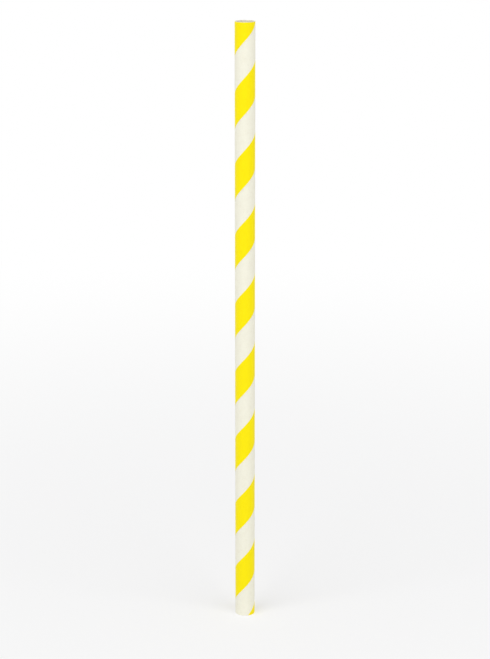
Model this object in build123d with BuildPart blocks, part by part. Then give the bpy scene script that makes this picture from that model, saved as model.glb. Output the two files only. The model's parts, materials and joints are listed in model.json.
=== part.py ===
"""A spiral-wound paper drinking straw.

Three strips of paper are wound round a mandrel at one slope and glued into a single wall, and
the tube is cut square to length. The two edges of a strip butt together from one turn to the
next, so the outside and the inside of the wall each carry a fine seam that climbs the straw as
a right-handed helix.

The straw stands on one cut end on Z = 0, with its axis along Z over the origin. Its front
faces -Y. Millimetres.
"""

import os

from build123d import *

# Driving dimensions
length = 200.0
outer_diameter = 6.5
outer_ply = 0.10  # the printed face paper
middle_ply = 0.13
inner_ply = 0.12  # the paper that meets the drink
lead = 23.0  # how far a strip climbs in one turn
outer_seam_gap = 0.16  # open width between the two edges of the face paper
inner_seam_gap = 0.14
outer_seam_depth = 0.05  # glue from below fills the rest of the face paper's gap
inner_seam_depth = inner_ply
outer_seam_crossing = 10.2  # from the lower end up to where the seam first crosses the front
inner_seam_crossing = 2.8
rim_chamfer = 0.04  # the knife leaves the rims of a cut end slightly broken
run_in_turns = 2  # a seam's helix starts this far below the lower end, and the cut takes it off

# Worked out from them
outer_radius = outer_diameter / 2
wall = outer_ply + middle_ply + inner_ply
bore_radius = outer_radius - wall
seam_turns = int(length / lead) + run_in_turns + 1

with BuildPart() as straw:
    # The wall is one ring, as tall as the straw, with the rims of both cut ends broken
    with BuildSketch(Plane.XY):
        Circle(outer_radius)
        Circle(bore_radius, mode=Mode.SUBTRACT)
    extrude(amount=length)
    chamfer(straw.edges().filter_by(GeomType.CIRCLE), rim_chamfer)

    # A seam is a groove swept along a helix on one face of the wall. The helix is a wire of
    # whole turns, so that each face of the groove is a single turn long. A turn starts on the
    # +X side, a quarter of the lead above where the seam passes the front.
    for seam_radius, depth, gap, crossing in (
        (outer_radius, outer_seam_depth, outer_seam_gap, outer_seam_crossing),
        (bore_radius, inner_seam_depth, inner_seam_gap, inner_seam_crossing),
    ):
        start = crossing + lead / 4 - run_in_turns * lead
        turns = [
            Helix(lead, lead, seam_radius, (0, 0, start + turn * lead), mode=Mode.PRIVATE)
            for turn in range(seam_turns)
        ]
        seam = Wire(turns)
        with BuildSketch(Plane(seam @ 0, x_dir=(1, 0, 0), z_dir=seam % 0)):
            Rectangle(2 * depth, gap)
        sweep(path=seam, is_frenet=True, mode=Mode.SUBTRACT)

straw.part.label = "straw"

os.makedirs("parts", exist_ok=True)
export_step(straw.part, "parts/straw.step")
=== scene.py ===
"""The looks of a spiral-wound paper drinking straw that stands on one cut end.

Metres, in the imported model's own frame: the straw's axis is Z, and its front faces -Y.
"""

import json
import math

import bpy
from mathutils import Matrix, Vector

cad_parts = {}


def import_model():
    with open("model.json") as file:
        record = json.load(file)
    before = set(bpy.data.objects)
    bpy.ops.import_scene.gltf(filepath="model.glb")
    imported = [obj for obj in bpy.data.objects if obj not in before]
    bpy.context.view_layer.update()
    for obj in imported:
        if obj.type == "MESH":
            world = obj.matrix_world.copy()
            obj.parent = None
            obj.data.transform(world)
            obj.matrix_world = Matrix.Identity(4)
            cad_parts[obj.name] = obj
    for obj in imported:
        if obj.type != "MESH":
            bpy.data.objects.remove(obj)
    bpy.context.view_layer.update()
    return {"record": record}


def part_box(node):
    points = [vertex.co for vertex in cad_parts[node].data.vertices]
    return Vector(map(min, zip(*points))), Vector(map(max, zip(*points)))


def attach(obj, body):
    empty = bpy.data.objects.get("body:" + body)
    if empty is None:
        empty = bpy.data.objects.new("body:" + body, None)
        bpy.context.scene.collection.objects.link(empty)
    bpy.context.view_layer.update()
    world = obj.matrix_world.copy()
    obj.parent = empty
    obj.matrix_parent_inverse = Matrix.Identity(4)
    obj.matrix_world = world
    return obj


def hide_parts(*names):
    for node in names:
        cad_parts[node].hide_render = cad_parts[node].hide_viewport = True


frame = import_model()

MM = 0.001

# The straw's sizes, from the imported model
low_corner, high_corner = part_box("straw")
mounts = {mount["name"]: mount for mount in frame["record"]["mounts"]}
length = high_corner[2] - low_corner[2]
outer_radius = mounts["outside"]["dims"]["r_mm"] * MM
bore_radius = mounts["bore"]["dims"]["r_mm"] * MM
wall = outer_radius - bore_radius

# The winding
lead = 23 * MM  # how far a strip of paper climbs in one turn
outer_ply = 0.10 * MM
middle_ply = 0.13 * MM
inner_ply = wall - outer_ply - middle_ply
outer_seam_crossing = 10.2 * MM  # height at which the seam first passes the front
inner_seam_crossing = 2.8 * MM
outer_seam_gap = 0.16 * MM
inner_seam_gap = 0.14 * MM
outer_seam_depth = 0.05 * MM
inner_seam_depth = inner_ply
rim_bevel = 0.035 * MM

# The face paper's strip, laid flat
strip_slope_run = 2 * math.pi * outer_radius
strip_turn = math.hypot(strip_slope_run, lead)  # along the strip, for one turn
strip_width = strip_slope_run * lead / strip_turn

# The mesh
segments = 56  # round the wall, so that both seams fall on a vertex, to within 0.01 mm
length_cuts = (5, 96)  # the length in 5 and each fifth in 96: rings about as tall as lead / segments
bevel_steps = 2
smooth_under = math.radians(40)
tolerance = 1e-6  # lengths this near count as equal
angle_tolerance = 1e-5
seam_sector = 0.01  # a face whose middle is this near a seam, as an angle, lies in its groove
least_climb = 1 * MM  # an edge that climbs more than this runs up the straw

# The map for baked images
map_spacing = 0.6 * MM
outside_columns = 3  # the outside is laid out in this many lengths, side by side
inside_columns = 2
inside_scale = 0.5

# The print: yellow starts at the strip's lower edge and covers this share of its width
yellow_share = 0.509
ink_edge_wander = 0.14  # mm, the most that the edge could wander, from side to side
ink_edge_softness = 0.04  # mm to either side of the edge

# The grain. A cell of noise is 1 / scale mm across, times its shape up and along the strip
fibre_shape = (0.35, 1.6, 1)
fibre_scale = 2.2
mottle_shape = (1, 1.4, 1)
mottle_scale = 0.55
wander_scale = 0.6
fibre_share = 0.7  # of the tone's unevenness, and the mottle is the rest
mottle_height = 0.8  # beside the fibres' height of 1
printed_relief = 0.018 * MM
bare_relief = 0.015 * MM

# Where on the grain, which goes from 0 to 1, each change of tone starts and is complete
paper_shades = (0.42, 0.74)
ink_leaves_deep = (0.32, 0.50)
ink_thins = (0.52, 0.80)
bare_darkens = (0.35, 0.75)

# The paper's finish
paper_roughness = 0.46
fibre_roughness = 0.16  # more where the fibres stand up
ink_smoothness = 0.12  # less where there is ink
ply_line_fade = (0.006, 0.020)  # mm from a ply's edge: where its line starts to fade and is gone
ply_line_strength = 0.8

# The studio
world_light = 0.52
floor_size = 6
floor_white_at_straw = 0.45  # share of plain white in the floor where the straw stands
floor_white_radius = 0.50  # from here out the floor is plain white
lamp_side = 1.2
key_place = (-0.9, -0.95, 1.3)
key_watts = 12.2
fill_place = (0.95, -0.9, 1.1)
fill_watts = 8.3
eye = (0, -0.602, 0.274)
lens = 105
sensor = 36


# ---------------------------------------------------------------- helpers


def angle_at_base(crossing):
    """Where a seam that passes the front at this height leaves the foot, as an angle from +X."""
    return -math.pi / 2 - 2 * math.pi * crossing / lead


def angle_of(point):
    return math.atan2(point[1], point[0])


def radius_of(point):
    return math.hypot(point[0], point[1])


def turned(a, b):
    """The angle from b to a, between -pi and pi."""
    return (a - b + math.pi) % (2 * math.pi) - math.pi


def gap_round_wall(gap, radius):
    """A gap measured square across a seam at this radius, as its width round the outside of the wall."""
    turn = 2 * math.pi * radius
    return gap * math.hypot(turn, lead) / lead * outer_radius / radius


def edit(obj, mode):
    """Goes from object mode into edit mode on one object, with nothing selected."""
    bpy.ops.object.select_all(action="DESELECT")
    obj.select_set(True)
    bpy.context.view_layer.objects.active = obj
    bpy.ops.object.mode_set(mode="EDIT")
    bpy.ops.mesh.select_mode(type=mode)
    bpy.ops.mesh.select_all(action="DESELECT")


def select(obj, kind, wanted):
    """Selects in edit mode the vertices, edges or polygons whose point or corner points are wanted."""
    bpy.ops.mesh.select_all(action="DESELECT")
    bpy.ops.object.mode_set(mode="OBJECT")
    points = [v.co for v in obj.data.vertices]
    for item in getattr(obj.data, kind):
        place = item.co if kind == "vertices" else [points[k] for k in item.vertices]
        item.select = bool(wanted(place))
    bpy.ops.object.mode_set(mode="EDIT")


# ---------------------------------------------------------------- the tube's mesh


def wound_tube():
    """The wall with its two seams, modelled straight and then twisted to the lead."""
    outer_seam = angle_at_base(outer_seam_crossing)
    inner_seam = angle_at_base(inner_seam_crossing)
    bpy.ops.object.select_all(action="DESELECT")
    bpy.ops.mesh.primitive_circle_add(
        vertices=segments, radius=outer_radius, fill_type="NGON", calc_uvs=False
    )
    tube = bpy.context.object
    tube.name = "straw_paper"
    turn_first_vertex_to(tube, outer_seam)
    part_vertex(tube, outer_seam, gap_round_wall(outer_seam_gap, outer_radius))
    part_vertex(tube, inner_seam, gap_round_wall(inner_seam_gap, bore_radius))

    draw_cut_end(tube, outer_seam, inner_seam)
    draw_up(tube)
    break_rims(tube)
    cut_across(tube)
    lay_out_strip(tube, outer_seam)
    lay_out_for_baking(tube, outer_seam, inner_seam)
    wind(tube)
    return tube


def turn_first_vertex_to(tube, angle):
    """Turns the circle so that one of its vertices lies at this angle."""
    nearest = min((turned(angle_of(v.co), angle) for v in tube.data.vertices), key=abs)
    edit(tube, "VERT")
    bpy.ops.mesh.select_all(action="SELECT")
    bpy.ops.transform.rotate(value=nearest, orient_axis="Z", center_override=(0, 0, 0))
    bpy.ops.object.mode_set(mode="OBJECT")
    assert min(abs(turned(angle_of(v.co), angle)) for v in tube.data.vertices) < angle_tolerance


def part_vertex(tube, angle, gap):
    """Makes two vertices of the circle's nearest to this angle, a gap apart and on the circle."""
    edit(tube, "VERT")
    select(tube, "vertices", lambda point: abs(turned(angle_of(point), angle)) < math.pi / segments)
    bpy.ops.mesh.bevel(offset=gap / 2, offset_type="OFFSET", segments=1, affect="VERTICES")
    bpy.ops.object.mode_set(mode="OBJECT")
    moved_in = [radius_of(v.co) for v in tube.data.vertices if v.select]
    assert len(moved_in) == 2
    out = outer_radius / moved_in[0]
    bpy.ops.object.mode_set(mode="EDIT")
    bpy.ops.transform.resize(value=(out, out, 1), center_override=(0, 0, 0))
    bpy.ops.object.mode_set(mode="OBJECT")


def draw_cut_end(tube, outer_seam, inner_seam):
    """The cut end, flat, as three rings of paper from the outside in, with each seam's ply taken out."""
    outer_floor = outer_radius - outer_seam_depth
    inner_floor = bore_radius + inner_seam_depth
    radii = (outer_radius, outer_floor, inner_floor, bore_radius)
    edit(tube, "EDGE")
    bpy.ops.mesh.select_all(action="SELECT")
    bpy.ops.mesh.delete(type="ONLY_FACE")
    bpy.ops.mesh.select_all(action="SELECT")
    for before, after in zip(radii, radii[1:]):
        bpy.ops.mesh.extrude_edges_move()
        bpy.ops.transform.resize(value=(after / before, after / before, 1), center_override=(0, 0, 0))

    for seam, low, high in (
        (outer_seam, outer_floor, outer_radius),
        (inner_seam, bore_radius, inner_floor),
    ):

        def in_gap(points):
            middle = sum(points, Vector()) / len(points)
            return abs(turned(angle_of(middle), seam)) < seam_sector and low < radius_of(middle) < high

        bpy.ops.mesh.select_mode(type="FACE")
        select(tube, "polygons", in_gap)
        bpy.ops.mesh.delete(type="FACE")
    bpy.ops.object.mode_set(mode="OBJECT")


def draw_up(tube):
    """Draws the cut end up to the straw's length."""
    edit(tube, "FACE")
    bpy.ops.mesh.select_all(action="SELECT")
    bpy.ops.mesh.extrude_region_move(TRANSFORM_OT_translate={"value": (0, 0, length)})
    bpy.ops.mesh.select_all(action="SELECT")
    bpy.ops.mesh.normals_make_consistent(inside=False)
    bpy.ops.object.mode_set(mode="OBJECT")


def break_rims(tube):
    """Bevels the outer and the inner rim of both cut ends."""

    def on_a_rim(points):
        level = abs(points[0].z - points[1].z) < tolerance
        return level and any(
            all(abs(radius_of(point) - rim) < tolerance for point in points)
            for rim in (outer_radius, bore_radius)
        )

    edit(tube, "EDGE")
    select(tube, "edges", on_a_rim)
    bpy.ops.mesh.bevel(offset=rim_bevel, offset_type="OFFSET", segments=bevel_steps, affect="EDGES")
    bpy.ops.object.mode_set(mode="OBJECT")


def cut_across(tube):
    """Cuts the wall across into rings, so that it can be twisted."""
    edit(tube, "EDGE")
    for pieces in length_cuts:
        select(tube, "edges", lambda points: abs(points[0].z - points[1].z) > least_climb)
        bpy.ops.mesh.subdivide(number_cuts=pieces - 1)
    bpy.ops.object.mode_set(mode="OBJECT")


def wind(tube):
    """Twists the straight tube to its lead, and cuts its twisted faces into triangles."""
    twist = tube.modifiers.new("wind", "SIMPLE_DEFORM")
    twist.deform_method = "TWIST"
    twist.deform_axis = "Z"
    twist.angle = 2 * math.pi * length / lead
    bpy.ops.object.modifier_apply(modifier=twist.name)

    # A twisted face is cut along its upright diagonal, which lies on the round of the wall
    edit(tube, "FACE")
    bpy.ops.mesh.select_all(action="SELECT")
    bpy.ops.mesh.quads_convert_to_tris(quad_method="SHORTEST_DIAGONAL", ngon_method="BEAUTY")
    bpy.ops.object.mode_set(mode="OBJECT")
    bpy.ops.object.shade_smooth_by_angle(angle=smooth_under)


def lay_out_strip(tube, seam):
    """UVs that lie flat on the paper before it is wound, in mm: up from its lower edge, and along it."""
    strip = tube.data.uv_layers.new(name="strip")
    vertices = tube.data.vertices
    for face in tube.data.polygons:
        middle = turned(angle_of(face.center), seam) % (2 * math.pi)
        for loop in face.loop_indices:
            point = vertices[tube.data.loops[loop].vertex_index].co
            round_wall = middle + turned(angle_of(point), angle_of(face.center))
            up = strip_width * (1 - round_wall / (2 * math.pi))
            along_round = strip_slope_run**2 * round_wall / (2 * math.pi) / strip_turn
            along = along_round + strip_turn * point.z / lead
            strip.data[loop].uv = (up / MM, along / MM)


def lay_out_for_baking(tube, outer_seam, inner_seam):
    """A map for baked images, under the name that the export looks for.

    The wall is slit along its seams and unrolled. The outside lies in columns side by side, the
    inside in fewer and smaller ones beside them, and the cut ends above the inside.
    """
    outside_pitch = 2 * math.pi * outer_radius + map_spacing
    inside_pitch = 2 * math.pi * bore_radius * inside_scale + map_spacing
    inside_start = outside_columns * outside_pitch
    side = inside_start + inside_columns * inside_pitch + map_spacing
    ends_level = length / inside_columns * inside_scale + map_spacing + outer_radius
    baked = tube.data.uv_layers.new(name="OFBake")
    for face in tube.data.polygons:
        centre = face.center
        outside = radius_of(centre) > (outer_radius + bore_radius) / 2
        seam, surface = (outer_seam, outer_radius) if outside else (inner_seam, bore_radius)
        round_wall = turned(angle_of(centre), seam) % (2 * math.pi)
        nearest_slit = surface * 2 * math.pi * round(round_wall / (2 * math.pi))
        cut_end = abs(face.normal.z) > 0.9
        for loop in face.loop_indices:
            point = tube.data.vertices[tube.data.loops[loop].vertex_index].co
            across = surface * (round_wall + turned(angle_of(point), angle_of(centre)))
            if abs(radius_of(point) - surface) > rim_bevel:  # in a seam, where the walls need some width
                across = (across + nearest_slit) / 2
            if cut_end:
                top = centre.z > length / 2
                x = inside_start + outer_radius + point.x + top * (2 * outer_radius + map_spacing)
                y = ends_level + point.y
            elif outside:
                column = min(int(outside_columns * centre.z / length), outside_columns - 1)
                x = column * outside_pitch + across
                y = point.z - column * length / outside_columns
            else:
                column = min(int(inside_columns * centre.z / length), inside_columns - 1)
                x = inside_start + column * inside_pitch + across * inside_scale
                y = (point.z - column * length / inside_columns) * inside_scale
            baked.data[loop].uv = ((x + map_spacing) / side, (y + map_spacing) / side)


# ---------------------------------------------------------------- materials


class Nodes:
    """A material's node tree, with short ways to add nodes and join them."""

    def __init__(self, name):
        self.material = bpy.data.materials.new(name)
        self.material.use_nodes = True
        self.tree = self.material.node_tree
        self.shader = self.tree.nodes["Principled BSDF"]

    def add(self, kind, inputs=None, **settings):
        node = self.tree.nodes.new(kind)
        for name, value in settings.items():
            setattr(node, name, value)
        for name, value in (inputs or {}).items():
            self.give(node.inputs[name], value)
        return node

    def give(self, socket, value):
        """Joins an output to the socket, or sets a plain value on it."""
        if isinstance(value, bpy.types.NodeSocket):
            self.tree.links.new(value, socket)
        else:
            socket.default_value = value

    def math(self, operation, a, b=0.0):
        return self.add("ShaderNodeMath", {0: a, 1: b}, operation=operation).outputs[0]

    def step(self, value, low, high, start=0.0, end=1.0):
        """A smooth step from start to end as value goes from low to high."""
        inputs = {"Value": value, "From Min": low, "From Max": high, "To Min": start, "To Max": end}
        return self.add("ShaderNodeMapRange", inputs, interpolation_type="SMOOTHSTEP").outputs["Result"]

    def mix(self, factor, a, b):
        node = self.add("ShaderNodeMix", data_type="RGBA")
        for socket, value in ((node.inputs[0], factor), (node.inputs[6], a), (node.inputs[7], b)):
            self.give(socket, value)
        return node.outputs[2]

    def noise(self, vector, shape, scale, detail, roughness=0.5):
        """Noise over coordinates in mm, with its cells stretched to this shape."""
        stretch = tuple(1 / side for side in shape)
        mapping = self.add("ShaderNodeMapping", {"Vector": vector, "Scale": stretch})
        inputs = {"Vector": mapping.outputs[0], "Scale": scale, "Detail": detail, "Roughness": roughness}
        return self.add("ShaderNodeTexNoise", inputs).outputs["Fac"]

    def fibres(self, strip):
        """Paper fibres, which lie along the strip."""
        return self.noise(strip, fibre_shape, fibre_scale, detail=5.0, roughness=0.65)

    def bump(self, height, strength, distance):
        inputs = {"Height": height, "Strength": strength, "Distance": distance}
        self.join(self.add("ShaderNodeBump", inputs).outputs[0], "Normal")

    def join(self, output, name):
        self.tree.links.new(output, self.shader.inputs[name])


def srgb(red, green, blue):
    """A colour written as 0 to 255 in sRGB, as the linear values that nodes take."""

    def linear(value):
        value /= 255
        return value / 12.92 if value <= 0.04045 else ((value + 0.055) / 1.055) ** 2.4

    return (linear(red), linear(green), linear(blue), 1.0)


PAPER_WHITE = srgb(244, 242, 225)
PAPER_SHADE = srgb(236, 232, 213)
INK_YELLOW = srgb(254, 235, 0)
INK_DEEP = srgb(250, 227, 0)
INK_THIN = srgb(255, 240, 40)
INNER_WHITE = srgb(240, 236, 220)
CUT_EDGE = srgb(232, 226, 206)
PLY_LINE = srgb(205, 196, 170)
FLOOR_PALE = srgb(248, 248, 249)


def printed_paper():
    """The face paper: white, with one band of yellow ink along the strip."""
    nodes = Nodes("printed paper")
    strip = nodes.add("ShaderNodeUVMap", uv_map="strip").outputs[0]
    up = nodes.add("ShaderNodeSeparateXYZ", {"Vector": strip}).outputs["X"]

    # The ink's free edge wanders by a few hundredths of a millimetre
    wander = nodes.noise(strip, (1, 1, 1), wander_scale, detail=4.0, roughness=0.7)
    wander = nodes.math("MULTIPLY", nodes.math("SUBTRACT", wander, 0.5), ink_edge_wander)
    edge = yellow_share * strip_width / MM
    inked_to, bare_from = edge - ink_edge_softness, edge + ink_edge_softness
    ink = nodes.step(nodes.math("ADD", up, wander), inked_to, bare_from, 1.0, 0.0)

    # The ink is thin where the fibres stand up and deep between them
    fibres = nodes.fibres(strip)
    mottle = nodes.noise(strip, mottle_shape, mottle_scale, detail=3.0)
    fibre_part = nodes.math("MULTIPLY", fibres, fibre_share)
    uneven = nodes.math("ADD", fibre_part, nodes.math("MULTIPLY", mottle, 1 - fibre_share))
    paper = nodes.mix(nodes.step(uneven, *paper_shades), PAPER_WHITE, PAPER_SHADE)
    yellow = nodes.mix(nodes.step(uneven, *ink_leaves_deep, 1.0, 0.0), INK_YELLOW, INK_DEEP)
    yellow = nodes.mix(nodes.step(fibres, *ink_thins), yellow, INK_THIN)
    nodes.join(nodes.mix(ink, paper, yellow), "Base Color")

    # Ink is a little glossier than bare paper
    rough = nodes.math("ADD", nodes.math("MULTIPLY", fibres, fibre_roughness), paper_roughness)
    rough = nodes.math("SUBTRACT", rough, nodes.math("MULTIPLY", ink, ink_smoothness))
    nodes.join(rough, "Roughness")
    nodes.shader.inputs["Specular IOR Level"].default_value = 0.12

    height = nodes.math("ADD", fibres, nodes.math("MULTIPLY", mottle, mottle_height))
    nodes.bump(height, strength=0.5, distance=printed_relief)
    return nodes.material


def bare_paper():
    """The inner paper and the cut ends, where the plies show as fine lines."""
    nodes = Nodes("bare paper")
    place = nodes.add("ShaderNodeTexCoord").outputs["Object"]
    place = nodes.add("ShaderNodeVectorMath", {0: place, "Scale": 1 / MM}, operation="SCALE").outputs[0]
    across = nodes.add("ShaderNodeSeparateXYZ", {"Vector": place}).outputs
    squares = [nodes.math("MULTIPLY", across[axis], across[axis]) for axis in ("X", "Y")]
    radius = nodes.math("SQRT", nodes.math("ADD", *squares))

    strip = nodes.add("ShaderNodeUVMap", uv_map="strip").outputs[0]
    fibres = nodes.fibres(strip)
    colour = nodes.mix(nodes.step(fibres, *bare_darkens), INNER_WHITE, CUT_EDGE)
    for ply_edge in (outer_radius - outer_ply, outer_radius - outer_ply - middle_ply):
        away = nodes.math("ABSOLUTE", nodes.math("SUBTRACT", radius, ply_edge / MM))
        colour = nodes.mix(nodes.step(away, *ply_line_fade, ply_line_strength, 0.0), colour, PLY_LINE)
    nodes.join(colour, "Base Color")
    nodes.shader.inputs["Roughness"].default_value = 0.7
    nodes.shader.inputs["Specular IOR Level"].default_value = 0.3
    nodes.bump(fibres, strength=0.4, distance=bare_relief)
    return nodes.material


def paint(tube):
    """Print on the outside of the wall, bare paper inside and on the cut ends."""
    tube.data.materials.append(printed_paper())
    tube.data.materials.append(bare_paper())
    outside = outer_radius - outer_seam_depth / 2
    for face in tube.data.polygons:
        centre, normal = face.center, face.normal
        faces_out = normal.x * centre.x + normal.y * centre.y > radius_of(centre) / 2
        face.material_index = 0 if faces_out and radius_of(centre) > outside else 1


# ---------------------------------------------------------------- floor, light, camera


def seen_as_background(tree):
    """1 for what the camera, a gloss or a glass sees, and 0 for what only lights the straw."""
    path = tree.nodes.new("ShaderNodeLightPath").outputs
    seen = path["Is Camera Ray"]
    for ray in ("Is Glossy Ray", "Is Transmission Ray"):
        either = tree.nodes.new("ShaderNodeMath")
        either.operation = "MAXIMUM"
        tree.links.new(seen, either.inputs[0])
        tree.links.new(path[ray], either.inputs[1])
        seen = either.outputs[0]
    return seen


def floor():
    """A pale floor that fades to white away from the straw."""
    bpy.ops.mesh.primitive_plane_add(size=floor_size)
    plane = bpy.context.object
    plane.name = "floor"
    nodes = Nodes("floor")
    nodes.shader.inputs["Base Color"].default_value = FLOOR_PALE
    nodes.shader.inputs["Roughness"].default_value = 0.9
    nodes.shader.inputs["Specular IOR Level"].default_value = 0.1
    place = nodes.add("ShaderNodeTexCoord").outputs["Object"]
    away = nodes.add("ShaderNodeVectorMath", {0: place}, operation="LENGTH").outputs["Value"]
    fade = nodes.step(away, 0.0, floor_white_radius, floor_white_at_straw, 1.0)
    share = nodes.math("MULTIPLY", fade, seen_as_background(nodes.tree))
    white = nodes.add("ShaderNodeEmission", {"Color": (1, 1, 1, 1), "Strength": 1.0}).outputs[0]
    both = nodes.add("ShaderNodeMixShader", {0: share, 1: nodes.shader.outputs[0], 2: white})
    nodes.tree.links.new(both.outputs[0], nodes.tree.nodes["Material Output"].inputs["Surface"])
    plane.data.materials.append(nodes.material)


def aim_at_straw(name, data, place):
    """An object with this data at a place, turned towards the straw's middle."""
    obj = bpy.data.objects.new(name, data)
    obj.location = place
    middle = Vector((0, 0, length / 2))
    obj.rotation_euler = (middle - Vector(place)).to_track_quat("-Z", "Y").to_euler()
    bpy.context.collection.objects.link(obj)
    return obj


def lamp(name, place, watts):
    data = bpy.data.lights.new(name, "AREA")
    data.shape = "RECTANGLE"
    data.size = lamp_side
    data.size_y = lamp_side
    data.energy = watts
    aim_at_straw(name, data, place)


def world():
    """A surround that shows as white, and lights the straw by less than that."""
    surround = bpy.data.worlds.new("world")
    surround.use_nodes = True
    tree = surround.node_tree
    background = tree.nodes["Background"]
    background.inputs["Color"].default_value = (1, 1, 1, 1)
    strength = tree.nodes.new("ShaderNodeMapRange")
    tree.links.new(seen_as_background(tree), strength.inputs["Value"])
    strength.inputs["To Min"].default_value = world_light
    strength.inputs["To Max"].default_value = 1.0
    tree.links.new(strength.outputs["Result"], background.inputs["Strength"])
    bpy.context.scene.world = surround


def camera():
    """In front of the straw and a little above it."""
    data = bpy.data.cameras.new("camera")
    data.lens = lens
    data.sensor_width = sensor
    bpy.context.scene.camera = aim_at_straw("camera", data, eye)


# ---------------------------------------------------------------- the scene

straw = wound_tube()
paint(straw)
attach(straw, "root")
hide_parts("straw")
floor()
lamp("key", key_place, key_watts)
lamp("fill", fill_place, fill_watts)
world()
camera()
bpy.context.scene.view_settings.view_transform = "Standard"
